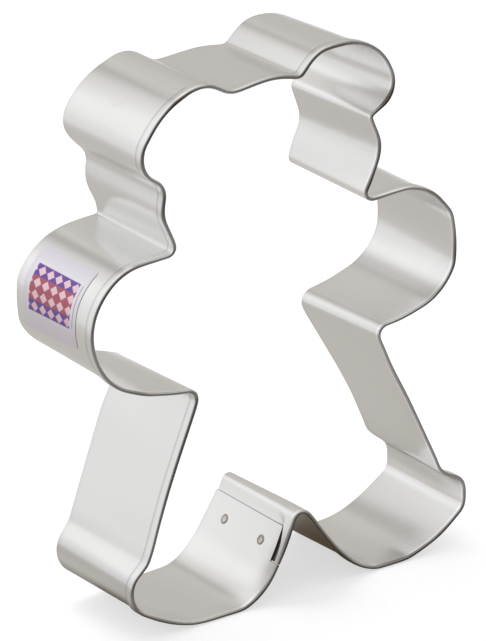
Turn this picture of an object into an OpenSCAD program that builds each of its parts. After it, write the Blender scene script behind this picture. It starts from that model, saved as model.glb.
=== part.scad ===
// Bear cookie cutter: one strip of tinned steel bent to a bear's outline, with a hemmed grip edge,
// a lap seam with two spot welds on one foot, and a film label round one arm.
// It stands on its feet, head up, with the hemmed edge to the front (-Y) and the cutting edge behind.
// The outline is a chain of bends with straight runs between them, as the strip is bent round pegs.
// A bend is [across, up, radius]: its radius is to the middle of the hem, and it is negative
// where the peg stands outside the bear.

/* [Strip] */
// Depth of the band, from the hemmed edge to the cutting edge
band_depth = 25; // [16:0.5:40]
// Thickness of the sheet
sheet_t = 0.35; // [0.2:0.05:0.45]
// Width of the folded hem
hem_w = 3; // [2.5:0.1:5]
// How far the nose of the fold stands before the hem's two layers
nose_len = 0.1; // [0.05:0.05:0.2]
// Gap between two layers that lie on each other
layer_gap = 0.05; // [0.02:0.01:0.1]

/* [Lap seam] */
// End of the inner tab, along the lap from the foot's bend
tab_end = 8.2; // [6.5:0.1:9]
// Gap where the two hems meet
butt_gap = 0.15; // [0.05:0.05:0.2]
// Start of that gap, along the lap from the foot's bend
butt_along = 1.5; // [0.5:0.1:1.7]
// Width of the outer end's hem at its snipped corner
hem_end_w = 1.2; // [0.8:0.1:1.8]
// Width of the slit between that hem and the sheet beside it
slit_w = 0.15; // [0.1:0.05:0.3]
// How far the tab's front edge slants towards the front
tab_slant = 0.9; // [0.3:0.1:1.2]
// Diameter of a spot weld
weld_d = 2; // [1:0.1:3]
// Depth of the dimple that the electrode leaves on each face
weld_dimple = 0.06; // [0.02:0.01:0.1]
// Front weld, from the hemmed edge
front_weld_in = 6.7; // [5.5:0.1:10]
// Rear weld, from the cutting edge
rear_weld_in = 6.1; // [3:0.1:8]
// Both welds, along the lap from the foot's bend
weld_along = 4.1; // [3.7:0.1:4.8]

/* [Right side of the bear] */
// Crotch between the legs
crotch = [1, 14, -1.5]; // [-50:0.5:100]
// Inner side of the right foot
heel = [20, 15.5, 15.5]; // [-50:0.5:100]
// Sole of the right foot
sole = [18.5, 23, 23]; // [-50:0.5:100]
// Toe of the right foot
toe = [32, 9.5, 4]; // [-50:0.5:100]
// Right ankle
ankle = [34.5, 17.5, -4]; // [-50:0.5:100]
// Right armpit
armpit = [22.5, 44.5, -2.5]; // [-50:0.5:100]
// Underside of the right arm
underarm = [20.5, 78.5, 31.5]; // [-50:0.5:100]
// Right hand
hand = [27, 59, 11]; // [-50:0.5:100]
// Right shoulder
shoulder = [27.5, 62, 9]; // [-50:0.5:100]
// Right side of the neck
neck = [21, 72.5, -1.5]; // [-50:0.5:100]
// Right cheek
cheek = [16, 80.5, 6.5]; // [-50:0.5:100]
// Nick between the right cheek and the ear
ear_root = [22.5, 86, -1]; // [-50:0.5:100]
// Outer bend of the right ear
ear_tip = [22, 92, 4.5]; // [-50:0.5:100]
// Side of the right ear
ear_side = [16.5, 91, 10]; // [-50:0.5:100]
// Top of the right ear
ear_top = [16, 90.5, 10.5]; // [-50:0.5:100]
// Nick between the right ear and the crown
crown_nick = [7.5, 98.5, -1]; // [-50:0.5:100]
// Crown of the head
crown = [0.5, 76, 22.5]; // [-50:0.5:100]

/* [Label] */
// Thickness of the film
label_t = 0.06; // [0.03:0.01:0.12]
// Width of the label across the band
label_w = 17; // [8:0.5:19]
// Length of the label round the arm
label_len = 15.6; // [8:0.1:20]
// Distance from the label to the hemmed edge
label_in = 5.7; // [5.2:0.1:7]
// Distance along the shoulder's bend to the label's top edge
label_start = 4.6; // [2:0.1:8]
// Gap that the glue fills
glue_t = 0.02; // [0.015:0.005:0.05]

/* [Hidden] */

// Each left bend differs a little from the mirror image of its right twin, as bends set by hand do:
// how much farther out, higher and rounder it is.
RIGHT = [heel, sole, toe, ankle, armpit, underarm, hand, shoulder,
         neck, cheek, ear_root, ear_tip, ear_side, ear_top, crown_nick];
LEFT_DRIFT = [
    [-4.5, -3, -4],
    [-1.5, 3.5, 2.5],
    [-1.5, 1, 1],
    [-1.5, -1, 3],
    [-2, -0.5, 1],
    [-4, -5.5, -4],
    [-3.5, 1.5, 2.5],
    [0, -2, 2.5],
    [1, 0.5, 0.5],
    [-1.5, -1, 1.5],
    [2.5, -3, -2],
    [-1, -2, 0.5],
    [-5.5, -7, 6.5],
    [-3, 3, -3.5],
    [-1.5, 5.5, -4.5]
];
LAST = len(RIGHT) - 1;
function mirrored(b, drift) = [-b.x - drift.x, b.y + drift.y, b.z + drift.z];
LEFT = [for (i = [0:LAST]) mirrored(RIGHT[i], LEFT_DRIFT[i])];
// All bends, from the crotch round by the right foot, the head and the left foot
BENDS = concat([crotch], RIGHT, [crown], [for (i = [LAST:-1:0]) LEFT[i]]);
COUNT = len(BENDS);
left_heel = LEFT[0];
left_sole = LEFT[1];
left_shoulder = LEFT[7];
left_neck = LEFT[8];

// Degrees all the way round
full_turn = 360;
// Longest chord and largest turn of one step of a bend
chord = 1;
max_turn = 12;
// How far a cutting body reaches past what it cuts
past = 1;

// Half the thickness of the hem, and the inner and outer faces of its two layers
half_hem = sheet_t + layer_gap / 2;
inner_layer = [-half_hem, -layer_gap / 2];
outer_layer = [layer_gap / 2, half_hem];
// How far the outer end steps out to pass behind the tab
lap_step = sheet_t + layer_gap;
// Both sides of the gap between the hems, the start of the outer end's sheet and the end of the slit
// before it, along the lap's run
foot_side = butt_along;
end_side = foot_side + butt_gap;
flap_start = end_side + 2 * butt_gap;
slit_end = tab_end + butt_gap;

// Heading of the straight run from bend a to bend b
function run_dir(a, b) =
    atan2(b.y - a.y, b.x - a.x) - asin((b.z - a.z) / norm([b.x - a.x, b.y - a.y]));
// Length of that run
function run_len(a, b) = sqrt(pow(norm([b.x - a.x, b.y - a.y]), 2) - pow(b.z - a.z, 2));
// Point of bend b where the strip heads in direction dir, offset outwards by out
function on_bend(b, dir, out) =
    [b.x + (b.z + out) * sin(dir), b.y - (b.z + out) * cos(dir)];
// Turn from one heading to the next, to the left on an outer bend and to the right on an inner one
function turn(b, from, to) =
    let (left = (to - from + 2 * full_turn) % full_turn) b.z > 0 ? left : left - full_turn;
function steps(b, sweep) = ceil(abs(sweep) / min(max_turn, chord / abs(b.z) * 180 / PI));
function reversed(list) = [for (i = [len(list) - 1:-1:0]) list[i]];
// Points along bend b at one offset
function bend_points(b, from, sweep, out) =
    let (n = max(1, steps(b, sweep)))
    [for (i = [0:n]) on_bend(b, from + sweep * i / n, out)];
// Points along bend number i of the outline
function outline_bend(i, out) =
    let (before = run_dir(BENDS[(i + COUNT - 1) % COUNT], BENDS[i]),
         after = run_dir(BENDS[i], BENDS[(i + 1) % COUNT]))
    bend_points(BENDS[i], before, turn(BENDS[i], before, after), out);
// Points all the way round from the crotch to the left heel
function round_points(out) = [for (i = [0:COUNT - 1]) each outline_bend(i, out)];

// The run from the left heel up to the crotch, which carries the lap seam
lap_dir = run_dir(left_heel, crotch);
lap_run = run_len(left_heel, crotch);
// Point on the lap's run at a distance from the heel, offset outwards
function lap_point(along, out) =
    on_bend(left_heel, lap_dir, out) + along * [cos(lap_dir), sin(lap_dir)];

// The bear leans until both feet touch the floor
floor_dir = run_dir(left_sole, heel);
function leaned(b) =
    [b.x * cos(floor_dir) + b.y * sin(floor_dir), b.y * cos(floor_dir) - b.x * sin(floor_dir)];
floor_z = leaned(heel).y - heel.z - half_hem;
left_x = leaned(left_shoulder).x - left_shoulder.z - half_hem;
right_x = leaned(hand).x + hand.z + half_hem;

module stand() {
    translate([-(left_x + right_x) / 2, 0, -floor_z])
        rotate([0, floor_dir, 0])
            children();
}

// A flat shape of the outline's plane, as deep as from one distance behind the hemmed edge to another
module slab(from, to) {
    translate([0, to - band_depth / 2, 0])
        rotate([90, 0, 0])
            linear_extrude(to - from)
                children();
}

// The lap's own frame: x along the run, y behind the hemmed edge, z towards the inside of the bear
module on_lap() {
    translate([lap_point(0, 0).x, -band_depth / 2, lap_point(0, 0).y])
        rotate([0, -lap_dir, 0])
            children();
}

// A plate on the lap between two offsets, its shape given as [along, behind the hemmed edge]
module lap_plate(inner, outer, points) {
    on_lap()
        translate([0, 0, -outer])
            linear_extrude(outer - inner)
                polygon(points);
}

// The strip's thickness seen from the front: outer end, step, whole outline and inner tab
module strip_outline() {
    polygon(concat(
        [for (s = [flap_start, tab_end]) lap_point(s, inner_layer[0] + lap_step)],
        round_points(inner_layer[0]),
        [lap_point(tab_end, inner_layer[0])],
        [lap_point(tab_end, inner_layer[1])],
        reversed(round_points(inner_layer[1])),
        [for (s = [tab_end, flap_start]) lap_point(s, inner_layer[1] + lap_step)]));
}

// A closed ring along the outline between two offsets
module ring(inner, outer) {
    difference() {
        polygon(round_points(outer));
        polygon(round_points(inner));
    }
}

// The outer end's hem at one offset: from inside the gap to the crotch
function hem_end_side(out) = [lap_point(foot_side + butt_gap / 2, out), round_points(out)[0]];

// The fold's nose, which joins the hem's two layers
module fold_nose() {
    slab(0, sheet_t)
        ring(-sheet_t / 2, sheet_t / 2);
}

// The hem's outer layer
module hem_layer() {
    slab(nose_len, hem_w)
        ring(outer_layer[0], outer_layer[1]);
}

// The inner layer of the outer end's hem, which stays in line while the sheet behind it steps out
module hem_end() {
    slab(nose_len, hem_w)
        polygon(concat(hem_end_side(inner_layer[0]), reversed(hem_end_side(inner_layer[1]))));
}

// What the snips take from the sheet's front at the lap: before the tab, and before the outer end
module snips_in_sheet() {
    lap_plate(-half_hem - past, 0, [
        [foot_side, -past],
        [slit_end, -past],
        [slit_end, hem_w],
        [foot_side, hem_w - tab_slant]]);
    lap_plate(0, half_hem + past, [
        [end_side, -past],
        [slit_end, -past],
        [slit_end, hem_w],
        [end_side, hem_end_w + slit_w]]);
}

// What the snip takes from the hem: the gap between its ends, and the corner beside the slit
module snip_in_hem() {
    lap_plate(-half_hem - past, half_hem + past, [
        [foot_side, -past],
        [end_side, -past],
        [end_side, hem_end_w],
        [slit_end, hem_w - slit_w],
        [slit_end, hem_w + past],
        [foot_side, hem_w + past]]);
}

// A round body through both layers of the lap
module weld_core(from_front, length) {
    on_lap()
        translate([weld_along, from_front, 0])
            cylinder(d = weld_d, h = length, center = true, $fn = 48);
}

module cutter_band() {
    color([0.78, 0.77, 0.75])
        stand()
            difference() {
                union() {
                    difference() {
                        slab(nose_len, band_depth)
                            strip_outline();
                        snips_in_sheet();
                    }
                    difference() {
                        union() {
                            fold_nose();
                            hem_layer();
                            hem_end();
                        }
                        snip_in_hem();
                    }
                }
                for (d = [front_weld_in, band_depth - rear_weld_in])
                    weld_core(d, 2 * half_hem + 2 * past);
            }
}

// The metal that each weld melted together, dished on both faces by the electrodes
module spot_weld(from_front) {
    color([0.62, 0.58, 0.52])
        stand()
            weld_core(from_front, 2 * half_hem - 2 * weld_dimple);
}

module front_spot_weld() {
    spot_weld(front_weld_in);
}

module rear_spot_weld() {
    spot_weld(band_depth - rear_weld_in);
}

module label() {
    turn_per_mm = 180 / PI / left_shoulder.z;
    top = run_dir(left_neck, left_shoulder) + label_start * turn_per_mm;
    back = -layer_gap / 2 + glue_t;
    color([0.80, 0.78, 0.85])
        stand()
            slab(label_in, label_in + label_w)
                polygon(concat(
                    bend_points(left_shoulder, top, label_len * turn_per_mm, back),
                    reversed(bend_points(left_shoulder, top, label_len * turn_per_mm, back + label_t))));
}

cutter_band();
front_spot_weld();
rear_spot_weld();
label();
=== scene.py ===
# %% [markdown]
# # A bear cookie cutter, bent from one strip of tinned steel
# The real cutter is one long strip of thin tinned sheet. Its front edge is folded over into a
# hem, the strip is bent round pegs to a bear's outline, and its two ends lap on one foot, where
# two spot welds hold them. A thin film label is stuck round one arm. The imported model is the
# fixed frame: every piece below is drawn in its place and in metres.

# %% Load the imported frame
import math

import bmesh
import bpy
import numpy as np
from mathutils import Matrix, Vector


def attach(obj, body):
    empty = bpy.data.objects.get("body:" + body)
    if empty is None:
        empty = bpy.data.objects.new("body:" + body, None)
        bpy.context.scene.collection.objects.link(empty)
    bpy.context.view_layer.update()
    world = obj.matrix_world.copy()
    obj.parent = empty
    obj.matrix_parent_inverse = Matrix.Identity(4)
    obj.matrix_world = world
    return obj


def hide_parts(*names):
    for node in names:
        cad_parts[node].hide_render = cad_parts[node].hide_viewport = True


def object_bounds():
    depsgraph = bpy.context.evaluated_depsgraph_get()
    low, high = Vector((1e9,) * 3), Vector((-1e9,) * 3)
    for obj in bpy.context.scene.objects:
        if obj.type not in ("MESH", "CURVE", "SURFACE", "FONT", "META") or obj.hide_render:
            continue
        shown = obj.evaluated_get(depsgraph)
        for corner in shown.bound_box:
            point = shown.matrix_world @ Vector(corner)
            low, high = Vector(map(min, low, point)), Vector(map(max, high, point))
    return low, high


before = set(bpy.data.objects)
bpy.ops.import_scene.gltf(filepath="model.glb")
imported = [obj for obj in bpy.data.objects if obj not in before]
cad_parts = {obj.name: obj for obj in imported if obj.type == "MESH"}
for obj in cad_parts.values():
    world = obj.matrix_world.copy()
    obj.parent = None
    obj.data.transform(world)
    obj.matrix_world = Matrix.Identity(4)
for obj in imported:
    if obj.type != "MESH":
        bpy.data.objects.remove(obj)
CAD_LOW, CAD_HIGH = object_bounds()
MM = 0.001
print("frame in mm:", [round(v / MM, 2) for v in (*CAD_LOW, *CAD_HIGH)])

# %% [markdown]
# ## The outline as a chain of bends
# A strip bent by hand has straight runs with round bends between them. The outline could be drawn
# with Bezier handles, but a list of bends says what the maker does: each one is a peg, given as
# across, up and radius in mm. A negative radius means that the peg stands outside the bear. The
# run between two pegs touches both, so its heading and length follow from the pegs alone.

# %% The pegs
RIGHT_SIDE = [(20, 15.5, 15.5), (18.5, 23, 23), (32, 9.5, 4), (34.5, 17.5, -4), (22.5, 44.5, -2.5),
              (20.5, 78.5, 31.5), (27, 59, 11), (27.5, 62, 9), (21, 72.5, -1.5), (16, 80.5, 6.5),
              (22.5, 86, -1), (22, 92, 4.5), (16.5, 91, 10), (16, 90.5, 10.5), (7.5, 98.5, -1)]
LEFT_SIDE = [(-6, 104, -5.5), (-13, 93.5, 7), (-11, 84, 16.5), (-21, 90, 5), (-25, 83, -3),
             (-14.5, 79.5, 8), (-22, 73, -1), (-27.5, 60, 11.5), (-23.5, 60.5, 13.5),
             (-16.5, 73, 27.5), (-20.5, 44, -1.5), (-33, 16.5, -1), (-30.5, 10.5, 5),
             (-17, 26.5, 25.5), (-15.5, 12.5, 11.5)]
CROTCH, CROWN = (1, 14, -1.5), (0.5, 76, 22.5)
BENDS = [CROTCH] + RIGHT_SIDE + [CROWN] + LEFT_SIDE


def heading(a, b):
    """Heading of the straight run from bend a to bend b, in radians."""
    across, up = b[0] - a[0], b[1] - a[1]
    return math.atan2(up, across) - math.asin((b[2] - a[2]) / math.hypot(across, up))


def on_bend(bend, direction):
    """The point of a bend where the strip heads in this direction."""
    return (bend[0] + bend[2] * math.sin(direction), bend[1] - bend[2] * math.cos(direction))


# %% Walk round the pegs
def walk_round():
    """Points of the strip's middle line, from the seam's run round the right side and back."""
    points = [on_bend(BENDS[-1], heading(BENDS[-1], BENDS[0]))]
    for i, bend in enumerate(BENDS):
        start = heading(BENDS[i - 1], bend)
        sweep = (heading(bend, BENDS[(i + 1) % len(BENDS)]) - start) % math.tau
        if bend[2] < 0:
            sweep -= math.tau
        count = max(2, math.ceil(abs(sweep * bend[2]) / 0.05))
        points += [on_bend(bend, start + sweep * k / count) for k in range(count + 1)]
    return np.array(points)


corners = walk_round()
travelled = np.r_[0, np.cumsum(np.hypot(*np.diff(corners, axis=0).T))]
LENGTH = travelled[-1]
COUNT = 2048
AT = np.arange(COUNT) * LENGTH / COUNT
line = np.interp(AT, travelled, corners[:, 0]) + 1j * np.interp(AT, travelled, corners[:, 1])
print("outline:", len(BENDS), "bends,", round(LENGTH, 2), "mm round")

# %% [markdown]
# ## Springy sheet has no sharp change of curve
# Where a run meets a bend, a sheet of steel goes over to it gradually. Blurring the line along its
# own length does that for every bend at once. A Fourier transform blurs a closed line without any
# seam. The bear is then turned a little, until both feet stand on the floor.

# %% Blur the line and stand it on its feet
def blurred(values, width):
    """Values round the closed line, blurred over a width in mm."""
    waves = np.fft.fftfreq(COUNT, LENGTH / COUNT)
    return np.fft.ifft(np.fft.fft(values) * np.exp(-2 * (math.pi * waves * width) ** 2))


def leaned(x, z):
    return (x * math.cos(FLOOR_TURN) + z * math.sin(FLOOR_TURN),
            z * math.cos(FLOOR_TURN) - x * math.sin(FLOOR_TURN))


SHEET = 0.35
GAP = 0.05
HALF_HEM = SHEET + GAP / 2
HEEL, HAND = BENDS[1], BENDS[7]
LEFT_SHOULDER, LEFT_SOLE = BENDS[24], BENDS[-2]
FLOOR_TURN = heading(LEFT_SOLE, HEEL)
floor_z = leaned(HEEL[0], HEEL[1])[1] - HEEL[2] - HALF_HEM
left_x = leaned(LEFT_SHOULDER[0], LEFT_SHOULDER[1])[0] - LEFT_SHOULDER[2] - HALF_HEM
right_x = leaned(HAND[0], HAND[1])[0] + HAND[2] + HALF_HEM
line = blurred(line, 0.35)
line_x, line_z = leaned(line.real, line.imag)
line_x, line_z = line_x - (left_x + right_x) / 2, line_z - floor_z
ahead = (np.roll(line_x, -1) - np.roll(line_x, 1)) + 1j * (np.roll(line_z, -1) - np.roll(line_z, 1))
ahead /= abs(ahead)
out_x, out_z = ahead.imag, -ahead.real
turn = np.angle(np.roll(ahead, -1) / np.roll(ahead, 1)) * COUNT / LENGTH / 2
print("sharpest bend: radius", round(1 / abs(turn).max(), 2), "mm")

# %% [markdown]
# ## Bent by hand
# The pegs give the plain outline, and hand bending leaves both edges a little off it: the hem by
# up to 0.9 mm, the thin cutting edge by up to 1.6 mm. Two tables hold that, as distance along the
# strip and drift outwards, both in mm. They follow the edges in the picture. Between the edges
# the sheet is straight, so any point on it lies between the two drifts. A lattice could bend the
# mesh too, but tables keep the shape in plain sizes. Neither edge uses more than about half of
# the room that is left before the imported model's box, so that no bend is flattened against it.

# %% How far the hem drifts
HEM_DRIFT = [(0, -0.1), (4, -0.05), (14, -0.7), (18, -0.5), (24, -0.7), (26, -0.65), (30, -0.05),
             (32, 0.1), (36, 0.25), (42, 0.25), (48, 0.75), (57, 1), (58, 0.85), (61, 0.25),
             (63, 0), (66, 0.5), (68, 0.55), (82, 0.55), (90, 0.2), (96, 0.45), (98, 0.15),
             (101, 0.55), (116, 0.5), (124, 0.95), (129, 0.6), (136, -0.05), (142, 0),
             (146, -0.2), (148, -0.05), (150, 0.5), (156, 0.6), (159, 0.95), (162, 0.4),
             (164, 0.3), (168, 0.6), (175, 0.65), (184, 0.05), (190, 0.4), (193, 0.2),
             (196, -0.35), (200, -0.1), (204, -0.15), (210, -0.8), (212, -0.1), (214, 0),
             (218, -0.25), (222, -0.15), (234, -0.55), (240, -0.15), (243, -0.4), (248, -0.2),
             (253, -0.6), (261, -0.05), (270, -0.55), (280, -0.4), (283, -0.3), (290, 0.35),
             (295, 0.65), (303, 0.15), (306, -0.4), (308, -0.55), (318, -0.3), (324, -0.25),
             (330, -0.45), (336, -0.85), (341, -0.3), (347, -0.3), (352, 0.25), (366, 0.35),
             (376, -0.1), (379, -0.1)]

# %% How far the cutting edge drifts
EDGE_DRIFT = [(0, -0.25), (8, 0.25), (12, 0.1), (26, 0.3), (38, 0.35), (40, 0.25), (44, 0.5),
              (50, 0.65), (56, 1.4), (58, 1.1), (60, 0.55), (61, 0.4), (62, 0.55), (66, 1.4),
              (74, 1.65), (80, 1.35), (90, 0.45), (94, 0.05), (96, 0), (97, 0.2), (99, 0.8),
              (100, 0.9), (108, 0.5), (118, 0.55), (122, 0.2), (131, 0.55), (146, 0.65),
              (150, 0.05), (152, -0.05), (157, 0.25), (163, -0.1), (183, -0.35), (190, 0.3),
              (198, -0.25), (205, -0.4), (210, -0.65), (213, 0), (216, 0.5), (230, 1.35),
              (233, 0.95), (235, 0.45), (237, -0.2), (238, -0.35), (240, -0.1), (242, 0.55),
              (244, 0.85), (246, 0.65), (252, -0.1), (254, 0.65), (260, 0.95), (263, 0.7),
              (268, 0.6), (278, 0.95), (288, -0.2), (292, -0.25), (299, -0.15), (302, -0.05),
              (310, 0.95), (316, 1.5), (326, 1.3), (339, 0.95), (343, 0.7), (349, 0.15),
              (360, 0.3), (368, 0.05), (371, 0.15), (376, -0.45), (379, -0.3)]

# %% Keep both drifts inside the box
DEPTH = 25
USABLE_ROOM = 0.55


def room(out):
    """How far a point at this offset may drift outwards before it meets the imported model's box."""
    free = np.full(COUNT, np.inf)
    for at, way, low, high in ((line_x, out_x, CAD_LOW[0], CAD_HIGH[0]),
                               (line_z, out_z, CAD_LOW[2], CAD_HIGH[2])):
        limit = np.where(way > 0, high / MM, low / MM)
        free = np.minimum(free, (limit - at) / np.copysign(np.maximum(abs(way), 0.01), way))
    return free - out


def drift(table, out, stiffness):
    """The drift all round, blurred over a width in mm that says how stiff the edge is."""
    given = np.interp(AT, *zip(*table), period=LENGTH)
    held = np.minimum(blurred(given, stiffness).real, USABLE_ROOM * room(out))
    return blurred(held, 0.6).real


hem_drift = drift(HEM_DRIFT, HALF_HEM, 1.1)
edge_drift = drift(EDGE_DRIFT, -GAP / 2, 0.7)
for edge, drifts in (("hem", hem_drift), ("cutting edge", edge_drift)):
    print(edge, "drifts from", round(drifts.min(), 2), "to", round(drifts.max(), 2), "mm")

# %% [markdown]
# ## A flare at the feet
# Beside the seam and at the right toe the front of the strip leans outwards, by up to 0.6 mm. A
# third table holds how far the fold's nose stands out. A sculpted push would do for the mesh
# alone, but as one more term of the placing function the flare moves whatever lies there. It
# fades over 8 mm like a parabola, so that no crease shows. The floor leaves no room for it under
# the feet.

# %% How far the front flares
HEM_FLARE = [(0, 0.6), (7, 0.6), (11, 0.25), (15, 0), (30, 0), (38, 0.2), (44, 0), (54, 0),
             (56, 0.25), (58, 0.35), (61, 0.15), (64, 0), (362, 0), (366, 0.12), (370, 0.32),
             (374, 0.5), (379, 0.6)]
FLARE_END = 8.0
FLARE_ROOM = 0.85
hem_flare = blurred(np.interp(AT, *zip(*HEM_FLARE), period=LENGTH), 2.0).real
hem_flare = np.minimum(hem_flare, FLARE_ROOM * (room(HALF_HEM) - hem_drift))
hem_flare = blurred(np.maximum(hem_flare, 0), 0.6).real
print("flare up to", round(hem_flare.max(), 2), "mm")


# %% From the flat strip to the frame
def round_line(values, along):
    return np.interp(along, AT, values, period=LENGTH)


def place(along, behind, out):
    """Points in metres: mm along the strip, mm behind the hemmed edge, mm outwards from mid-hem."""
    part = behind / DEPTH
    out = out + round_line(hem_drift, along) * (1 - part) + round_line(edge_drift, along) * part
    out = out + round_line(hem_flare, along) * np.maximum(1 - behind / FLARE_END, 0) ** 2
    x = round_line(line_x, along) + out * round_line(out_x, along)
    z = round_line(line_z, along) + out * round_line(out_z, along)
    points = np.stack(np.broadcast_arrays(x, behind - DEPTH / 2, z), -1) * MM
    return np.clip(points, CAD_LOW, CAD_HIGH)


seam_start = place(0.0, 0.0, 0.0)
print("the strip's zero lies at", [round(float(v) / MM, 1) for v in seam_start], "mm")

# %% [markdown]
# ## Rows across the strip and stations along it
# The blank is a flat strip, so its mesh is a grid: stations along it and rows across it. Each row
# has two points, on both faces of the sheet. The rows start at the hem's free edge, go round the
# fold and then over the sheet to the cutting edge. In the picture the fold isn't an even half
# circle: it reads as longer on its outer side, where its slope catches the light from above. The
# hem's free edge lies 2 mm behind the front, while the cuts beside the seam keep the packed
# model's lines, which are drawn for a hem of 3 mm. Stations lie closer together where the strip
# turns, so small bends stay round and runs cost little.

# %% Rows and stations
HEM = 3.0
HEM_EDGE = 2.0
SLIT = 0.15
FOLD_OUT, FOLD_IN = 0.8, 0.375
FOLD_STEPS = 12
hem_rows = [HEM_EDGE, 1.7, 1.4, 1.1]
fold_rows = np.linspace(0, math.pi, FOLD_STEPS + 1)
sheet_rows = [0.9, 1.4, 2.1, HEM - SLIT, HEM, 3.35, 4, 5.5, 7, 8.5, 10, 11.5, 13, 14.5, 16, 17.5,
              19, 20.5, 22, 23.5, 24.6, DEPTH]
n_hem, n_fold = len(hem_rows), len(fold_rows)
fold_depth = np.where(fold_rows < math.pi / 2, FOLD_OUT, FOLD_IN)
BEHIND = np.r_[hem_rows, fold_depth * (1 - np.sin(fold_rows)), sheet_rows]
FACE_OUT = np.r_[[HALF_HEM] * n_hem, HALF_HEM * np.cos(fold_rows), [-HALF_HEM] * len(sheet_rows)]
BACK_OUT = FACE_OUT * (GAP / 2) / HALF_HEM
ACROSS = np.r_[0, np.cumsum(np.hypot(np.diff(BEHIND), np.diff(FACE_OUT)))]
NOSE_AT = ACROSS[n_hem + FOLD_STEPS // 2]
ROW_INNER = n_hem + n_fold
ROW_SHEET = ROW_INNER + sheet_rows.index(HEM)
HEM_LINE = ACROSS[ROW_SHEET]


def stations(start, end, most_turn=3.0, longest=1.0):
    """Distances from start to end, closer together where the strip turns (in degrees)."""
    fine = np.linspace(start, end, int((end - start) / 0.05) + 2)
    per_mm = np.maximum(abs(round_line(turn, fine)) * math.degrees(1) / most_turn, 1 / longest)
    effort = np.r_[0, np.cumsum(np.diff(fine) * (per_mm[1:] + per_mm[:-1]) / 2)]
    return np.interp(np.linspace(0, effort[-1], math.ceil(effort[-1]) + 1), effort, fine)


print("rows:", len(BEHIND), "with the fold's nose", round(NOSE_AT, 2), "mm from the hem's edge")

# %% [markdown]
# ## The lap on the foot
# Near the seam the strip isn't a plain grid. The outer end is snipped, so that its hem stays in
# line while the sheet behind it steps out by one thickness. The other end has lost its hem and
# lies inside as a tab. One grid could be cut with booleans, but the cuts would be rough and slow.
# Here four grids share their vertices instead: the long run, the snipped hem, the flap and the
# tab. In each one the rows beside a snip slide along its slanting line.

# %% Four grids with shared vertices
LAP = 8.2
SNIP_END = LAP + SLIT
FOOT_SIDE, END_SIDE, FLAP_START = 1.5, 1.65, 1.7
HEM_END, TAB_SLANT, CORNER_IN = 0.95, 0.9, 0.6
SNIP_CURVE, SNIP_STEPS = 1.8, 16
STEP_RUN, STEP_SLOPE, TAB_RUN = 4.5, 6, 4
RIM, SETTLED = 0.9, 4


def smooth(t):
    t = np.clip(t, 0, 1)
    return t * t * (3 - 2 * t)


def slid(values, low, was, now):
    """Rows between low and was, stretched so that the last one lies at now."""
    moved = low + (values - low) * (now - low) / (was - low)
    return np.where((values > low) & (values <= was + 1e-6), moved, values)


def grid(along, rows, snip=None, front=None, step=None):
    """Both faces of a grid, with (distance, across, bend) for each of its points."""
    along, behind = along[:, None], np.broadcast_to(BEHIND[rows], (len(along), len(BEHIND[rows])))
    if snip is not None:
        outside = np.arange(len(BEHIND))[rows] < n_hem
        limit = snip(along)
        behind = np.where(outside, slid(behind, RIM, HEM_EDGE, np.minimum(limit, HEM_EDGE)),
                          slid(behind, RIM, HEM - SLIT, limit))
    if front is not None:
        line_at = front(along)
        inside = np.arange(len(BEHIND))[rows] >= ROW_INNER
        pushed = line_at + (behind - HEM) * (SETTLED - line_at) / (SETTLED - HEM)
        pulled = slid(behind, RIM, HEM, line_at)
        behind = np.where(inside & (behind >= HEM) & (behind < SETTLED), pushed,
                          np.where(inside & (behind < HEM), pulled, behind))
    shift = 0 if step is None else step(along, behind)
    back = np.maximum(behind, SHEET)
    mark = np.stack(np.broadcast_arrays(along, ACROSS[rows], abs(round_line(turn, along))), -1)
    return (place(along, behind, FACE_OUT[rows] + shift),
            place(along, back, BACK_OUT[rows] + shift), mark)


# %% The lines of the cuts
def hem_snip(along):
    done = (along - END_SIDE) / (SNIP_END - END_SIDE)
    return HEM_END + (HEM - CORNER_IN - SLIT - HEM_END) * done ** SNIP_CURVE


def flap_front(along):
    return hem_snip(along) + SLIT


def tab_front(along):
    done = (along - LENGTH - FOOT_SIDE) / (SNIP_END - FOOT_SIDE)
    return HEM - TAB_SLANT + (TAB_SLANT - CORNER_IN) * done


def run_front(along):
    """Beside the seam the long run's rows slide to the front lines of the flap and of the tab."""
    after = 1 - smooth((along - SNIP_END) / STEP_RUN)
    before = smooth((along - LENGTH + TAB_RUN) / (TAB_RUN + FOOT_SIDE))
    return HEM - CORNER_IN * after - TAB_SLANT * before


def flap_step(along, behind):
    """How far the outer end's sheet stands out, fading behind the seam towards the crotch."""
    faded = 1 - smooth((along - SNIP_END) / STEP_RUN)
    ramp = smooth((behind - run_front(along) + SLIT) /
                  (SLIT + STEP_SLOPE * np.clip((along - SNIP_END) / STEP_RUN, 0, 1)))
    return (SHEET + GAP) * faded * ramp


# %% The four grids
EVERY, HEM_ROWS, SHEET_ROWS = slice(0, None), slice(0, ROW_SHEET), slice(ROW_SHEET, None)
long_run = stations(SNIP_END, LENGTH + FOOT_SIDE)
parts = {
    "run": grid(long_run, EVERY, front=run_front, step=flap_step),
    "hem": grid(np.linspace(END_SIDE, SNIP_END, SNIP_STEPS)[:-1], HEM_ROWS, snip=hem_snip),
    "flap": grid(np.linspace(FLAP_START, SNIP_END, SNIP_STEPS)[:-1], SHEET_ROWS,
                 front=flap_front, step=lambda along, behind: SHEET + GAP),
    "tab": grid(np.linspace(LENGTH + FOOT_SIDE, LENGTH + LAP, SNIP_STEPS)[1:], SHEET_ROWS,
                front=tab_front),
}
print("grids:", {name: part[0].shape[:2] for name, part in parts.items()})

# %% [markdown]
# ## One closed skin
# The grids of vertex numbers are joined along the stations that they share. Wherever the joined
# grid has a free side, a narrow wall closes the sheet between its two faces: that is the raw cut
# edge of the steel. A Solidify modifier would do it too, but it would lose the narrow gap inside
# the fold.

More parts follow.
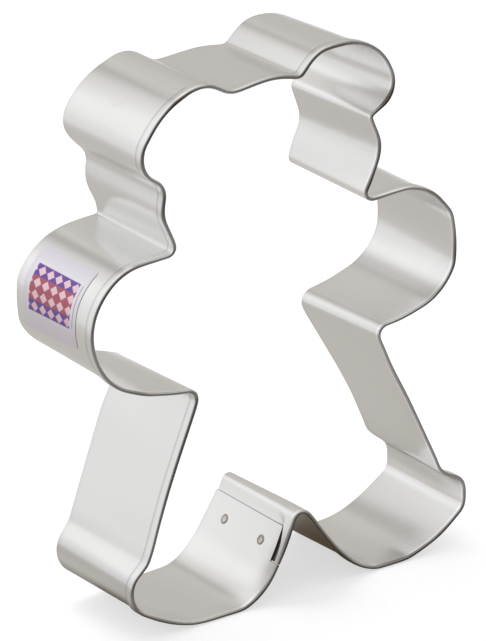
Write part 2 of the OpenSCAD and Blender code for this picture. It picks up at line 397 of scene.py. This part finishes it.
# %% Join the grids and wall the cut edges
ids, count = {}, 0
for name, (face, _, _) in parts.items():
    size = face.shape[0] * face.shape[1]
    ids[name] = np.arange(count, count + size).reshape(face.shape[:2])
    count += size
ids["hem"] = np.vstack([ids["hem"], ids["run"][:1, HEM_ROWS]])
ids["flap"] = np.vstack([ids["flap"], ids["run"][:1, SHEET_ROWS]])
ids["tab"] = np.vstack([ids["run"][-1:, SHEET_ROWS], ids["tab"]])
face_points = np.vstack([p[0].reshape(-1, 3) for p in parts.values()])
back_points = np.vstack([p[1].reshape(-1, 3) for p in parts.values()])
marks = np.vstack([p[2].reshape(-1, 3) for p in parts.values()])
# The flap's face lies under the tab and shows only in a narrow gap. It is noted for painted shade.
flap_shade_mask = np.zeros(count)
flap_shade_mask[ids["flap"][:-1].ravel()] = 1


def quads(numbers):
    corners_of = (numbers[:-1, :-1], numbers[1:, :-1], numbers[1:, 1:], numbers[:-1, 1:])
    return np.stack(corners_of, -1).reshape(-1, 4)


def closed_sheet(front, shift):
    """The front faces, their twins on points numbered higher by shift, and walls between them."""
    sides = np.vstack([front[:, [k, (k + 1) % 4]] for k in range(4)])
    known = set(map(tuple, sides.tolist()))
    free = np.array([side for side in sides.tolist() if (side[1], side[0]) not in known])
    walls = np.stack([free[:, 1], free[:, 0], free[:, 0] + shift, free[:, 1] + shift], -1)
    return np.vstack([front, front[:, ::-1] + shift, walls])


front_faces = np.vstack([quads(numbers) for numbers in ids.values()])
faces = closed_sheet(front_faces, count)
wall_count = len(faces) - 2 * len(front_faces)
points = np.vstack([face_points, back_points])
print("skin:", len(points), "points,", len(faces), "faces,", wall_count, "of them on cut edges")

# %% [markdown]
# ## Meshes with notes for the shader
# A shader needs to know where on the strip it is. The blank's own coordinates go into the mesh as
# attributes, so that rolling lines follow the strip round every bend. Edges between faces that
# meet at more than 40 degrees are marked sharp and all else is shaded smooth.

# %% A helper that makes an object
SHARP = math.radians(40)


def solid(name, points, faces, notes, material_of=None):
    """A mesh object in the frame's coordinates, with vector notes on its points."""
    mesh = bpy.data.meshes.new(name)
    mesh.from_pydata([tuple(p) for p in points], [], [tuple(f) for f in faces])
    if material_of is not None:
        mesh.polygons.foreach_set("material_index", np.asarray(material_of, dtype=np.int32))
    for note, values in notes.items():
        made = mesh.attributes.new(note, "FLOAT_VECTOR", "POINT")
        made.data.foreach_set("vector", np.asarray(values, dtype=np.float32).ravel())
    work = bmesh.new()
    work.from_mesh(mesh)
    for edge in work.edges:
        edge.smooth = edge.calc_face_angle(0) < SHARP
    for face in work.faces:
        face.smooth = True
    work.to_mesh(mesh)
    open_edges = sum(1 for edge in work.edges if not edge.is_manifold)
    work.free()
    made = bpy.data.objects.new(name, mesh)
    bpy.context.scene.collection.objects.link(made)
    print(name, "has", len(mesh.polygons), "faces and", open_edges, "open edges")
    return made

# %% [markdown]
# ## Painted light across the tin
# Faint lines cross the strip, some brighter and some duller than the tin round them. They are
# taken here as small creases left by the pegs, and they are painted reflections: in place of the
# light that a crease catches, the tin's colour is drawn lighter in some bands and darker in others.
# The dark line on the fold's nose varies in width and depth. It is painted shade, and the second
# list sets how wide and how strong it is along the strip. Both are lists of place along the strip,
# width in mm and strength, set by comparing with the picture. Each entry is a soft bump, and their
# sum is one number at each point of the mesh. Noise would scatter such marks anywhere, and a list
# can be corrected one mark at a time.

# %% Painted bands across the strip and the nose's painted shade
PAINTED_CREASE_BANDS = [(15, 2, 0.05), (20, 1.5, 0.06), (45.1, 1.6, -0.12), (56, 0.8, 0.19),
             (99, 1, -0.08), (111.8, 1.4, -0.19), (132.3, 1, 0.19), (148, 1.3, 0.17),
             (165.3, 1.4, 0.15), (173.2, 0.9, 0.09), (183.5, 1.1, -0.09), (194, 1.2, -0.08),
             (214.9, 1, -0.11), (220.7, 0.9, 0.16), (222.4, 0.7, -0.08), (244.3, 1.1, -0.11),
             (254.2, 1, -0.08), (262.6, 0.7, 0.06), (264.1, 0.8, -0.14), (286.6, 1.2, 0.13),
             (304.2, 0.9, 0.08), (337, 1.6, -0.08), (342.4, 1.5, -0.13), (348, 1, 0.12),
             (371, 1.2, -0.06)]
NOSE_SHADE_BANDS = [(6, 4, 0.3), (36, 4, 0.35), (42, 4, 0.3), (49, 3, 0.25), (55, 3, 0.1), (78, 12, -0.1),
             (96, 8, -0.2), (120, 3.5, 0.3), (132, 2.5, 0.35), (141, 4, -0.3), (150, 3, 0.35),
             (157, 2.5, 0.25), (168, 3, 0.5), (186, 3, 0.2), (198, 2.5, 0.25), (210, 3, -0.15),
             (222, 2, 0.25), (240, 2.5, -0.2), (247, 2, 0.1), (255, 5, -0.35), (276, 3, -0.15),
             (282, 3, -0.3), (294, 2.5, 0.3), (335, 9, -0.25), (354, 3, 0.35), (372, 9, 0.2)]


def noted(notes):
    """One number for each point: the soft bumps of a list, added up."""
    return sum(much * np.exp(-((marks[:, 0] - at) / wide) ** 2) for at, wide, much in notes)


crease_band_note, nose_shade_note = noted(PAINTED_CREASE_BANDS), noted(NOSE_SHADE_BANDS)
print("peg marks from", round(crease_band_note.min(), 2), "to", round(crease_band_note.max(), 2))

# %% The band
side_note = np.zeros((2 * count, 3))
# The seam note: the flap's painted-shade mask, the back face, and the painted crease bands.
side_note[:count, 0] = flap_shade_mask
side_note[count:, 1] = 1
side_note[:, 2] = np.tile(crease_band_note, 2)
# The middle number says how strong the nose's painted shade is along the strip.
outwards = np.stack([-round_line(out_x, marks[:, 0]), nose_shade_note,
                     round_line(out_z, marks[:, 0])], -1)
band = solid("bent_band", points, faces,
             {"strip": np.vstack([marks, marks]), "seam": side_note,
              "outwards": np.vstack([outwards, outwards])},
             [0] * (2 * len(front_faces)) + [1] * wall_count)

# %% [markdown]
# ## The spot welds
# An electrode presses on each face of the lap and leaves a shallow round dimple with a low rim.
# Each weld is turned like a button: one profile goes from the middle of the inner dimple over the
# rim, through the sheet and out to the other dimple, and is spun round the weld's own axis.

# %% Turn the two welds
WELD_ALONG = 4.1
WELD_RADIUS = 1.0
FRONT_WELD, REAR_WELD = 6.7, 18.9
profile = np.array([(0, 0.01), (0.3, 0.012), (0.45, 0.03), (0.6, 0.075), (0.74, 0.11), (0.86, 0.1),
                    (0.96, 0.04), (1, -0.03)])
TURNS = 40


def weld(name, behind):
    """A weld button through both layers of the lap, with its radius noted for the shader."""
    rings, radius = [], []
    for sign in (-1, 1):
        for r, proud in (profile if sign < 0 else profile[::-1]):
            for k in range(TURNS if r else 1):
                angle = math.tau * k / TURNS
                rings.append(place(np.array([WELD_ALONG + r * WELD_RADIUS * math.cos(angle)]),
                                   np.array([behind + r * WELD_RADIUS * math.sin(angle)]),
                                   np.array([sign * (HALF_HEM + proud)]))[0])
                radius.append((r, sign, 0))
    loops = [[0]]
    for k in range(2 * len(profile) - 2):
        loops.append(list(range(1 + k * TURNS, 1 + (k + 1) * TURNS)))
    loops.append([len(rings) - 1])
    made = []
    for a, b in zip(loops[:-1], loops[1:]):
        for k in range(TURNS):
            ring = [a[k % len(a)], b[k % len(b)], b[(k + 1) % len(b)], a[(k + 1) % len(a)]]
            made.append(list(dict.fromkeys(ring)))
    return solid(name, rings, made, {"weld": radius})


welds = {"front_spot_weld": weld("front_weld_button", FRONT_WELD),
         "rear_spot_weld": weld("rear_weld_button", REAR_WELD)}

# %% [markdown]
# ## The film label
# The label is a thin film that follows the arm's outer face. It is laid on the band with the same
# placing function as the steel, two hundredths of a millimetre clear of it, so it follows every
# bend and lean. Its corners are rounded, as die-cut labels are.

# %% Lay the label on the arm
LABEL_FROM, LABEL_TO = 266.1, 281.7
LABEL_FRONT, LABEL_BACK = 5.7, 22.7
LABEL_LOW, LABEL_HIGH = -0.005, 0.055
CORNER = 0.8
label_along = np.r_[LABEL_FROM + CORNER * (1 - np.cos(np.linspace(0, math.pi / 2, 7))),
                    np.linspace(LABEL_FROM + CORNER, LABEL_TO - CORNER, 41)[1:-1],
                    LABEL_TO - CORNER * (1 - np.cos(np.linspace(math.pi / 2, 0, 7)))]
n_across = 33


def label_grid(out):
    from_end = np.minimum(label_along - LABEL_FROM, LABEL_TO - label_along)
    near_end = np.clip(1 - from_end / CORNER, 0, 1)
    inset = CORNER * (1 - np.sqrt(1 - near_end ** 2))
    spread = np.linspace(0, 1, n_across)[None, :]
    behind = (LABEL_FRONT + inset)[:, None] * (1 - spread) + (LABEL_BACK - inset)[:, None] * spread
    along = np.broadcast_to(label_along[:, None], behind.shape)
    note = np.stack([along - LABEL_FROM, behind - LABEL_FRONT, np.zeros_like(along)], -1)
    return place(along, behind, np.full(along.shape, out)).reshape(-1, 3), note.reshape(-1, 3)


top_points, print_note = label_grid(LABEL_HIGH)
under_points, _ = label_grid(LABEL_LOW)
numbers = np.arange(len(top_points)).reshape(len(label_along), n_across)
label = solid("arm_label", np.vstack([top_points, under_points]),
              closed_sheet(quads(numbers)[:, ::-1], len(top_points)),
              {"print": np.vstack([print_note, print_note])})

# %% [markdown]
# ## A small language for materials
# Node trees are easier to read as sums. A Wire is one output socket, and adding, subtracting or
# multiplying it makes a Math node. Every other node comes from one method of Graph: the node's
# type, its settings, and the values or wires of its sockets.

# %% Wires and graphs
class Wire:
    """A node's output that can stand in a sum, such as 1 - mask or mask * 0.2."""

    def __init__(self, graph, socket):
        self.graph, self.socket = graph, socket

    def maths(self, operation, a, b):
        return self.graph.node("Math", {"operation": operation}, {0: a, 1: b})

    def __add__(self, other):
        return self.maths("ADD", self, other)

    def __radd__(self, other):
        return self.maths("ADD", other, self)

    def __sub__(self, other):
        return self.maths("SUBTRACT", self, other)

    def __rsub__(self, other):
        return self.maths("SUBTRACT", other, self)

    def __mul__(self, other):
        return self.maths("MULTIPLY", self, other)

    def __rmul__(self, other):
        return self.maths("MULTIPLY", other, self)


class Graph:
    """The nodes of one material or of the world."""

    def __init__(self, tree):
        self.tree = tree
        tree.nodes.clear()

    def node(self, kind, settings=None, sockets=None, out=0):
        """A new node: its settings first, ramp stops among them, then what its sockets hold."""
        made = self.tree.nodes.new("ShaderNode" + kind)
        for name, value in (settings or {}).items():
            if name == "stops":
                stops = made.color_ramp.elements
                while len(stops) < len(value):
                    stops.new(1)
                for stop, (position, colour) in zip(stops, value):
                    stop.position, stop.color = position, colour
            elif name == "blend":
                made.color_ramp.interpolation = value
            else:
                setattr(made, name, value)
        for name, value in (sockets or {}).items():
            if isinstance(value, Wire):
                self.tree.links.new(value.socket, made.inputs[name])
            else:
                made.inputs[name].default_value = value
        return Wire(self, made.outputs[out]) if made.outputs else None

    def mix(self, factor, a, b):
        return self.node("Mix", {"data_type": "RGBA"}, {0: factor, 6: a, 7: b}, out=2)

    def between(self, value, low, high, to_low=0.0, to_high=1.0):
        """A smooth step: to_low below low, to_high above high."""
        return self.node("MapRange", {"interpolation_type": "SMOOTHSTEP"},
                         {"Value": value, "From Min": low, "From Max": high,
                          "To Min": to_low, "To Max": to_high})

    def noise(self, vector, stretch, detail=2.0, rough=0.5, seed=0.0):
        """Noise from 0 to 1, stretched along each axis of the vector."""
        scaled = self.node("VectorMath", {"operation": "MULTIPLY"}, {0: vector, 1: stretch})
        return self.node("TexNoise", {"noise_dimensions": "4D"},
                         {"Vector": scaled, "W": seed, "Scale": 1.0, "Detail": detail,
                          "Roughness": rough})

    def split(self, vector):
        """The three numbers of a vector, as wires."""
        first = self.node("SeparateXYZ", {}, {0: vector})
        outputs = first.socket.node.outputs
        return [Wire(self, outputs[k]) for k in range(3)]

    def rays(self):
        """Two masks: where the camera itself looks, and where a gloss mirrors something."""
        seen = self.node("LightPath", out="Is Camera Ray")
        return seen, Wire(self, seen.socket.node.outputs["Is Glossy Ray"])


def rgb(red, green, blue):
    return (red, green, blue, 1.0)


def grey(level):
    return rgb(level, level, level)


def new_material(name):
    made = bpy.data.materials.new(name)
    made.use_nodes = True
    return made, Graph(made.node_tree)

# %% [markdown]
# ## Tinned steel
# Tinplate is rolled steel with a thin coat of tin. It mirrors its surroundings softly: faint
# rolling lines run along the strip, bending draws fine streaks across it, the coat is a little
# cloudy, and handling leaves smudges. Most of that is a change in roughness and a slope of a
# degree or less, so noise drives Roughness and Bump, and the colour changes only a little. A
# photograph of metal could be wrapped on instead, but noise in the strip's own coordinates
# follows every bend. The fold has its own masks on the distance across the strip, and all of
# them are painted light: the nose is painted dark as shade, a rim just inside it is painted
# bright as a highlight, and a grey line of painted shade marks where the hem's free edge meets
# the sheet. The undersides of the feet are painted dark as shade too. On the real cutter these
# are shade and reflections in the metal. This simple room doesn't hold them, so the tin's own
# colour is drawn darker there, and brighter at the rim, and stays so in any light.

# %% Painted light on the fold
def fold_marks(g, across, back_side, nose_strength, leftwards, above):
    """Painted light: shade on the nose, a highlight on the rim, a shade line at the hem's edge."""
    past = across - NOSE_AT
    reach = past * (1 - nose_strength)
    nose = g.between(reach + g.between(above, -0.3, 0.8) * -0.2, -0.8, -0.4)
    nose = nose - g.between(reach, -0.05, 0.3) * (0.55 - nose_strength * 0.8)
    nose = nose * (1 - g.between(reach, 0.35, 0.6))
    nose = nose * g.between(leftwards * above, -0.4, 0.42, 0.68, 0.93)
    nose = nose * g.between(nose_strength, -0.4, 0.3, 0.72, 1.05)
    # Painted highlight: a bright rim on the inner face just inside the nose.
    rim_highlight = g.between(past, 0.5, 0.75) * g.between(past, 1.35, 0.95) * (1 - back_side)
    # Painted shade: a grey line at the hem's free edge, where the step throws a thin shadow.
    behind_hem = 1 - g.between(across, HEM_LINE - 0.85, HEM_LINE - 0.35)
    hem_shade_line = behind_hem * back_side + (1 - g.between(across, 0.1, 0.8)) * (1 - back_side)
    hem_shade_line = hem_shade_line * g.between(above, 0.995, 0.94, 0.35, 1)
    return nose, rim_highlight, hem_shade_line


# %% Painted shade on the undersides of the feet
def underside_shade(g, place_3d):
    """Where shade is painted: faces low on the feet that look down at the floor."""
    height = g.split(place_3d)[2]
    upwards = g.split(g.node("TexCoord", out="Normal"))[2]
    return g.between(height, 0.022, 0.005) * g.between(upwards, -0.1, -0.7)


# %% The tinned face
def tinned_steel():
    made, g = new_material("tinned_steel_satin")
    strip = g.node("Attribute", {"attribute_name": "strip"}, out="Vector")
    seam = g.node("Attribute", {"attribute_name": "seam"}, out="Vector")
    outwards = g.node("Attribute", {"attribute_name": "outwards"}, out="Vector")
    _, across, bend = g.split(strip)
    seam_shade, back_side, crease_paint = g.split(seam)
    leftwards, nose_strength, above = g.split(outwards)
    place_3d = g.node("TexCoord", out="Object")
    rolling = g.noise(strip, (0.05, 9.0, 0.0), detail=3, rough=0.6)
    drawn = g.noise(strip, (6.0, 0.12, 0.0), detail=2, rough=0.6, seed=3)
    cloudy = g.noise(place_3d, (90, 90, 90), detail=3, seed=5)
    wavy = g.noise(strip, (0.16, 0.05, 0.0), detail=1, seed=7)
    smudge = g.between(g.noise(place_3d, (160, 160, 160), detail=4, rough=0.6, seed=11), 0.62, 0.74)
    ticks = g.noise(strip, (0.35, 6.0, 0.0), detail=2, seed=17)
    scuff = g.between(g.noise(strip, (1.2, 14.0, 0.0), detail=2, seed=13), 0.68, 0.76)
    at_bend = g.between(bend, 0.03, 0.25)
    nose, rim_highlight, hem_shade_line = fold_marks(g, across, back_side, nose_strength, leftwards, above)
    worn = g.between(across, ACROSS[-1] - 1.2, ACROSS[-1])
    tone = g.mix(cloudy, rgb(0.84, 0.838, 0.835), rgb(0.80, 0.798, 0.792))
    tone = g.mix(smudge * 0.16, tone, rgb(0.68, 0.66, 0.62))
    tone = g.mix(scuff * 0.2, tone, rgb(0.9, 0.89, 0.87))
    tone = g.mix(worn * 0.2, tone, rgb(0.6, 0.58, 0.55))
    # Painted shade: the grey line at the hem's free edge.
    tone = g.mix(hem_shade_line * 0.6, tone, rgb(0.5, 0.5, 0.5))
    # Painted shade: the undersides of the feet drawn dark, in place of the shade that they mirror.
    tone = g.mix(underside_shade(g, place_3d) * 0.92, tone, rgb(0.23, 0.222, 0.21))
    # Painted reflections: bands across the strip drawn lighter in some places and darker in others.
    tone = g.node("VectorMath", {"operation": "SCALE"},
                  {0: tone, "Scale": 1 + crease_paint * (0.3 + ticks * 1.4)})
    # Painted highlight: the rim inside the fold's nose drawn brighter.
    tone = g.mix(rim_highlight * 0.7, tone, rgb(0.97, 0.965, 0.96))
    # Painted shade: the fold's nose drawn dark brown, in place of the dark that the fold mirrors.
    tone = g.mix(nose, tone, rgb(0.075, 0.056, 0.04))
    # Painted shade: the flap's face in the narrow recess under the tab, drawn nearly black.
    tone = g.mix(seam_shade * 0.85, tone, rgb(0.1, 0.09, 0.075))
    rough = 0.17 + cloudy * 0.06 + rolling * 0.05 + smudge * 0.04 + at_bend * 0.04 + scuff * 0.08
    height = wavy * 1.2 + rolling * 0.16 + drawn * at_bend * 0.35 + cloudy * 0.3
    bump = g.node("Bump", {}, {"Strength": 1.0, "Distance": 0.01 * MM, "Height": height})
    shader = g.node("BsdfPrincipled", {}, {"Base Color": tone, "Metallic": 1.0,
                                           "Roughness": rough, "Normal": bump})
    g.node("OutputMaterial", {}, {"Surface": shader})
    return made


# %% The raw cut edge
def cut_steel():
    made, g = new_material("cut_steel_edge")
    place_3d = g.node("TexCoord", out="Object")
    drag = g.noise(place_3d, (2500, 400, 2500), detail=2, seed=2)
    tone = g.mix(drag, rgb(0.3, 0.29, 0.27), rgb(0.42, 0.41, 0.39))
    bump = g.node("Bump", {}, {"Strength": 1.0, "Distance": 0.01 * MM, "Height": drag})
    shader = g.node("BsdfPrincipled", {}, {"Base Color": tone, "Metallic": 1.0,
                                           "Roughness": 0.3 + drag * 0.15, "Normal": bump})
    g.node("OutputMaterial", {}, {"Surface": shader})
    return made


band.data.materials.append(tinned_steel())
band.data.materials.append(cut_steel())
print("band materials:", [m.name for m in band.data.materials])

# %% [markdown]
# ## Weld metal
# The electrode melts the tin, so the dimple is matt and pale in the middle and browned by heat
# round its rim. The radius noted in the mesh drives a colour ramp.

# %% The welds' finish
def weld_metal():
    made, g = new_material("weld_metal_browned")
    radius = g.split(g.node("Attribute", {"attribute_name": "weld"}, out="Vector"))[0]
    place_3d = g.node("TexCoord", out="Object")
    spatter = g.noise(place_3d, (1800, 1800, 1800), detail=3, seed=4)
    heat = g.node("ValToRGB", {"stops": [(0, rgb(0.66, 0.64, 0.6)), (0.5, rgb(0.62, 0.59, 0.55)),
                                         (0.72, rgb(0.36, 0.3, 0.25)), (0.9, rgb(0.45, 0.39, 0.33)),
                                         (1, rgb(0.6, 0.57, 0.53))]},
                  {0: radius + (spatter - 0.5) * 0.2})
    bump = g.node("Bump", {}, {"Strength": 1.0, "Distance": 0.03 * MM, "Height": spatter})
    shader = g.node("BsdfPrincipled", {}, {"Base Color": heat, "Metallic": 1.0,
                                           "Roughness": 0.3 + spatter * 0.15, "Normal": bump})
    g.node("OutputMaterial", {}, {"Surface": shader})
    return made


weld_finish = weld_metal()
for piece in welds.values():
    piece.data.materials.append(weld_finish)

# %% [markdown]
# ## The label's print
# The film is a lavender silver with a printed block. The print is a plain pattern of this lesson's
# own: small diamonds in violet on a pale ground, with a band of red ones in the middle. Each
# shape is a mask worked out from the mm noted in the mesh, and the masks choose between inks.

# %% The label's finish
def label_film():
    made, g = new_material("label_film_printed")
    note = g.node("Attribute", {"attribute_name": "print"}, out="Vector")
    along, across, _ = g.split(note)

    def inside(value, low, high, soft=0.12):
        return g.between(value, low - soft, low + soft) * g.between(value, high + soft, high - soft)

    def zigzag(value):
        return g.node("Math", {"operation": "PINGPONG"}, {0: value, 1: 1.0})

    field = inside(along, 2.9, 12.7) * inside(across, 1.2, 16.1)
    picture = inside(along, 3.6, 12.0) * inside(across, 1.9, 15.2)
    diamonds = g.between(zigzag(along * 0.952 - 0.476) + zigzag(across * 0.752 + 0.071), 0.78, 0.96)
    band_of_red = inside(along, 5.7, 9.9)
    grain = g.noise(note, (1.4, 1.4, 0.0), detail=3, seed=6)
    fine = g.noise(note, (14.0, 14.0, 0.0), detail=2, seed=8)
    film = g.mix(grain, rgb(0.76, 0.73, 0.81), rgb(0.80, 0.78, 0.84))
    inks = g.mix(field * 0.5, film, rgb(0.84, 0.8, 0.86))
    inks = g.mix(picture, inks, rgb(0.86, 0.6, 0.68))
    inks = g.mix(picture * diamonds, inks, g.mix(band_of_red, rgb(0.12, 0.05, 0.36),
                                                 rgb(0.44, 0.08, 0.125)))
    edge_line = inside(across, 0.95, 1.15, 0.06) * inside(along, 3.7, 11.7)
    inks = g.mix(edge_line * 0.7, inks, rgb(0.12, 0.1, 0.16))
    inks = g.mix(fine * 0.1, inks, rgb(0.7, 0.68, 0.7))
    height = grain + fine * 0.1
    bump = g.node("Bump", {}, {"Strength": 1.0, "Distance": 0.02 * MM, "Height": height})
    metal, rough = 0.85 - picture * diamonds * 0.5, 0.28 + grain * 0.1 + fine * 0.04
    shader = g.node("BsdfPrincipled", {}, {"Base Color": inks, "Metallic": metal,
                                           "Roughness": rough, "Normal": bump})
    g.node("OutputMaterial", {}, {"Surface": shader})
    return made


label.data.materials.append(label_film())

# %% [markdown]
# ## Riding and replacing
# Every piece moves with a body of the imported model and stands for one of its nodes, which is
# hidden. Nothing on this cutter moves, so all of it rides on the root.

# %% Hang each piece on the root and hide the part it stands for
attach(band, "root")
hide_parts("cutter_band")
for node, piece in welds.items():
    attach(piece, "root")
    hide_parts(node)
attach(label, "root")
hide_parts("label")

# %% [markdown]
# ## The studio
# Polished metal shows the room, so the room is most of the look. It is a white sweep with a soft
# light above and to the left, and darkness on the camera's side, which helps to draw the dark
# line along the fold. The world holds it as levels of grey by direction, set until each bend had
# about the tone of the picture. Matt surfaces get a plain light instead, from 0.4 in front to
# 1.12 behind, and the camera sees white. Softbox lamps would do as well, but stops in a ramp are
# easier to shift by a few degrees.

# %% The world
world = bpy.data.worlds.new("studio_room")
world.use_nodes = True
bpy.context.scene.world = world
g = Graph(world.node_tree)
towards = g.node("TexCoord", out="Generated")
east, north, up = g.split(towards)
ring_angle = g.node("Math", {"operation": "ARCTAN2"}, {0: up, 1: east})
ring_turn = ring_angle * (1 / math.tau) + 0.5
print("world:", world.name)

# %% What the metal mirrors, in degrees round the object
BACK_LEVELS = [(-180, 1.05), (0, 0.65), (20, 0.66), (39, 0.66), (50, 0.7), (64, 0.72), (72, 0.72),
               (78, 0.66), (84, 0.52), (89, 0.55), (94, 0.74), (99, 0.88), (110, 0.98), (122, 1.19),
               (132, 1.24), (142, 1.2), (152, 1.12), (166, 1.06), (180, 1.05)]
SIDE_LEVELS = [(-180, 1.0), (-90, 0.65), (-20, 0.65), (30, 0.75), (90, 1.2), (150, 1.15),
               (180, 1.0)]
EXPOSED = 0.854


def room_tone(level):
    """The room's light at one level: neutral where bright, a little warm where dim."""
    warm = min(max((1.05 - level) / 0.25, 0), 1)
    level = level * EXPOSED
    return rgb(level * (1 + 0.035 * warm), level, level * (1 - 0.06 * warm))


def levels(stops):
    return g.node("ValToRGB", {"stops": [((a + 180) / 360, room_tone(v)) for a, v in stops]},
                  {0: ring_turn})


# %% Put the room together
seen = g.mix(g.between(north, 0.3, 0.62), levels(SIDE_LEVELS), levels(BACK_LEVELS))
seen = g.mix(g.between(up, 0.64, 0.78), seen, grey(1.04))
DARK_TOWARDS = Vector((-0.15, -0.97, 0.02)).normalized()
facing_dark = g.node("VectorMath", {"operation": "DOT_PRODUCT"},
                     {0: towards, 1: tuple(DARK_TOWARDS)}, out="Value")
seen = g.mix(g.between(facing_dark, 0.45, 0.8), seen, grey(0.17))
for_camera, for_gloss = g.rays()
even = g.between(north, -0.9, 0.7, 0.4, 1.12)
shown = g.mix(for_camera, g.mix(for_gloss, even, seen), grey(1.0))
background = g.node("Background", {}, {"Color": shown, "Strength": 1.0})
g.node("OutputWorld", {}, {"Surface": background})

# %% [markdown]
# ## The floor
# The floor is a plain white sheet. For the camera it is partly lit by the lamp and the room, so
# that it keeps the object's soft shadow, and partly glows by itself, so that it is white where
# nothing shades it. In the metal it has another glow: faint and warm near the bear, stronger far
# off, and none on the camera's side. A plain white floor alone would wash out the metal.

# %% The floor and its finish
bpy.ops.mesh.primitive_grid_add(x_subdivisions=8, y_subdivisions=8, size=6)
floor = bpy.context.object
floor.name = "studio_floor"
made, g = new_material("white_sweep")
spot = g.node("NewGeometry", out="Position")
spot_y = g.split(spot)[1]
for_camera, for_gloss = g.rays()
before = g.between(spot_y, -0.02, -0.06) * for_gloss
distance = g.node("VectorMath", {"operation": "LENGTH"}, {0: spot}, out="Value")
shine = g.mix(g.between(distance, 0.1, 0.65), rgb(0.076, 0.05, 0.018), grey(0.4))
shine = g.mix(for_gloss * (1 - before), grey(0), shine)
paper = g.noise(spot, (400, 400, 400), detail=2)
lit_colour = g.mix(paper, grey(0.5), grey(0.54))
lit_colour = g.mix(before, lit_colour, grey(0.4))
lit = g.node("BsdfDiffuse", {}, {"Color": lit_colour})
glow = g.node("Emission", {}, {"Color": g.mix(for_camera, shine, grey(0.63))})
g.node("OutputMaterial", {}, {"Surface": g.node("AddShader", {}, {0: lit, 1: glow})})
floor.data.materials.append(made)
print("stage:", floor.name)

# %% [markdown]
# ## Lamp and camera
# One large soft lamp hangs above and behind the bear, at the level where a colour renders about
# as it is written, and lays a soft shadow towards the camera. The metal mirrors the room's soft
# lights from the world, so the lamp itself is hidden from it. The camera stands well back with a
# long lens, at the angle of a catalogue picture.

# %% The lamp
lamp_data = bpy.data.lights.new("soft_key", "AREA")
lamp_data.shape = "DISK"
lamp_data.size = 0.5
lamp_data.energy = 2.0
lamp = bpy.data.objects.new("soft_key", lamp_data)
bpy.context.scene.collection.objects.link(lamp)
lamp.location = (-0.05, 0.35, 0.95)
lamp.visible_glossy = False
LAMP_AIM = Vector((0, 0, 0.03))
lamp.rotation_euler = (LAMP_AIM - lamp.location).to_track_quat("-Z", "Y").to_euler()
print("lamp", round((LAMP_AIM - lamp.location).length, 2), "m from the bear")

# %% The camera
camera_data = bpy.data.cameras.new("catalogue_camera")
camera_data.lens = 280.811
camera_data.sensor_width = 36
camera_data.clip_start = 0.05
camera = bpy.data.objects.new("catalogue_camera", camera_data)
bpy.context.scene.collection.objects.link(camera)
EYE = Vector((-0.43861568, -0.71295337, 0.36936765))
AHEAD = Vector((0.48972355, 0.79560369, -0.35663092))
UPWARDS = Vector((0.2331759, 0.27462383, 0.93285087))
sideways = AHEAD.cross(UPWARDS)
turned = Matrix((sideways, UPWARDS, -AHEAD)).transposed()
camera.matrix_world = Matrix.Translation(EYE) @ turned.to_4x4()
bpy.context.scene.camera = camera
bpy.context.scene.view_settings.view_transform = "Standard"
print("camera", round((EYE - Vector((0, 0, 0.05))).length, 3), "m from the bear")

# %% [markdown]
# ## Finish
# Every piece is clipped to the imported model's box when it is placed, and the last step brings
# the scene up to date.

# %% Finish
bpy.context.view_layer.update()
